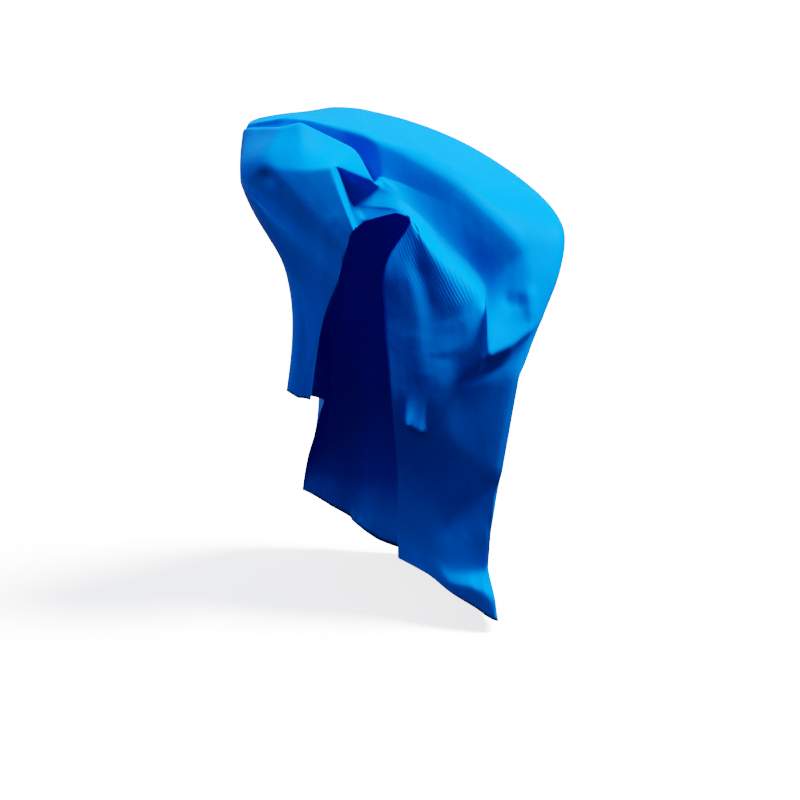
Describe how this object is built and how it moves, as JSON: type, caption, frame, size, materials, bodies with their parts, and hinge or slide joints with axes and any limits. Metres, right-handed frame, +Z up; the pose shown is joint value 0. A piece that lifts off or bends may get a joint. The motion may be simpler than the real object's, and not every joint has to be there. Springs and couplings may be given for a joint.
{
  "type": "bicycle cover",
  "caption": "Draped hollow cover of thin coated fabric, made in one sheet with an arched mouth at the front, a bulging brow, a sloping roof and a skirt that hangs lower on one side",
  "frame": {"origin": "On the underside of the roof at the middle of its crest, where what the cover is pulled over holds it up", "axes": "+Z up, +Y from the mouth to the rear, +X to the right as seen from the front"},
  "size_m": [0.8623, 1.2179, 1.1645],
  "materials": {
    "coated_fabric": "blue woven polyester with a smooth waterproof coating and a soft satin sheen"
  },
  "bodies": {
    "root": {"cover": "coated_fabric"}
  },
  "joints": []
}
